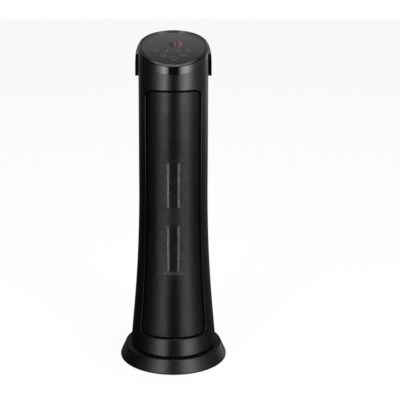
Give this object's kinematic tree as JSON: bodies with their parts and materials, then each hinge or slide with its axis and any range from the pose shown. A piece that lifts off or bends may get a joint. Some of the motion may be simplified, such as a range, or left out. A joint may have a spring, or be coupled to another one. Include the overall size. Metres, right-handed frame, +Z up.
{
  "type": "ceramic tower heater",
  "caption": "Slim black ceramic tower heater: flared casing with a tall rounded grille, slanted panel and a round swinging base.",
  "frame": {"origin": "on the floor under the middle of the round base", "axes": "+Z up along the tower's swing axis, -Y out of the front grille, +X to the heater's own left seen from behind"},
  "size_m": [0.202, 0.202, 0.6121],
  "materials": {
    "gloss_black": "polished",
    "satin_black": "satin",
    "panel": "polished",
    "mesh": "satin",
    "rubber": "matte",
    "steel": "satin",
    "aluminium": "satin",
    "stone": "matte",
    "resin_dark": "matte",
    "resin_pale": "matte",
    "board": "satin",
    "display": "polished"
  },
  "bodies": {
    "base": {"base_cover": "gloss_black", "base_plate": "satin_black", "rubber_feet": "rubber", "base_screws": "steel", "turntable_ring": "resin_pale", "swing_motor": "steel", "tip_switch": "resin_dark", "cord_bush": "rubber"},
    "pinion": {"motor_shaft": "steel", "drive_pinion": "resin_pale"},
    "plunger": {"tip_plunger": "resin_pale"},
    "blower": {"blower_wheel": "resin_dark", "wheel_shaft": "steel", "wheel_stub": "steel"},
    "switch": {"switch_rocker": "gloss_black"},
    "tower": {"tower_floor": "satin_black", "hub_retainer": "resin_pale", "hub_screws": "steel", "gear_sector": "resin_pale", "front_shell": "gloss_black", "mesh_panel": "mesh", "rear_shell": "satin_black", "shell_screws": "steel", "cap": "gloss_black", "touch_panel": "panel", "display_board": "board", "led_display": "display", "infrared_receiver": "gloss_black", "rear_hood": "gloss_black", "blower_duct": "resin_dark", "blower_motor": "satin_black", "top_bearing": "resin_pale", "heater_frame": "resin_dark", "ptc_bars": "aluminium", "ceramic_stones": "stone", "heater_fins": "aluminium", "thermal_cutout": "aluminium", "heater_clip": "steel", "control_deck": "resin_dark", "power_board": "board", "switch_housing": "satin_black"}
  },
  "joints": [
    {"name": "tower_swing", "type": "hinge", "parent": "base", "child": "tower", "pos_m": [0, 0, 0.029], "axis": [0, 0, 1], "range_deg": [-35, 35]},
    {"name": "pinion_spin", "type": "hinge", "parent": "base", "child": "pinion", "pos_m": [0, -0.04625, 0.029], "axis": [0, 0, 1], "range_deg": [-255, 255]},
    {"name": "blower_spin", "type": "hinge", "parent": "tower", "child": "blower", "pos_m": [0, 0.016, 0.28], "axis": [0, 0, 1], "continuous": true},
    {"name": "switch_tilt", "type": "hinge", "parent": "tower", "child": "switch", "pos_m": [0, 0.07048, 0.095], "axis": [1, 0, 0], "range_deg": [-16, 0]},
    {"name": "plunger_slide", "type": "slide", "parent": "base", "child": "plunger", "axis": [0, 0, 1], "range_m": [-0.005, 0], "stiffness_N_per_m": 60, "springref_m": -0.007}
  ],
  "couplings": [
    {"joint": "pinion_spin", "follows": "tower_swing", "ratio": 7.1667}
  ]
}
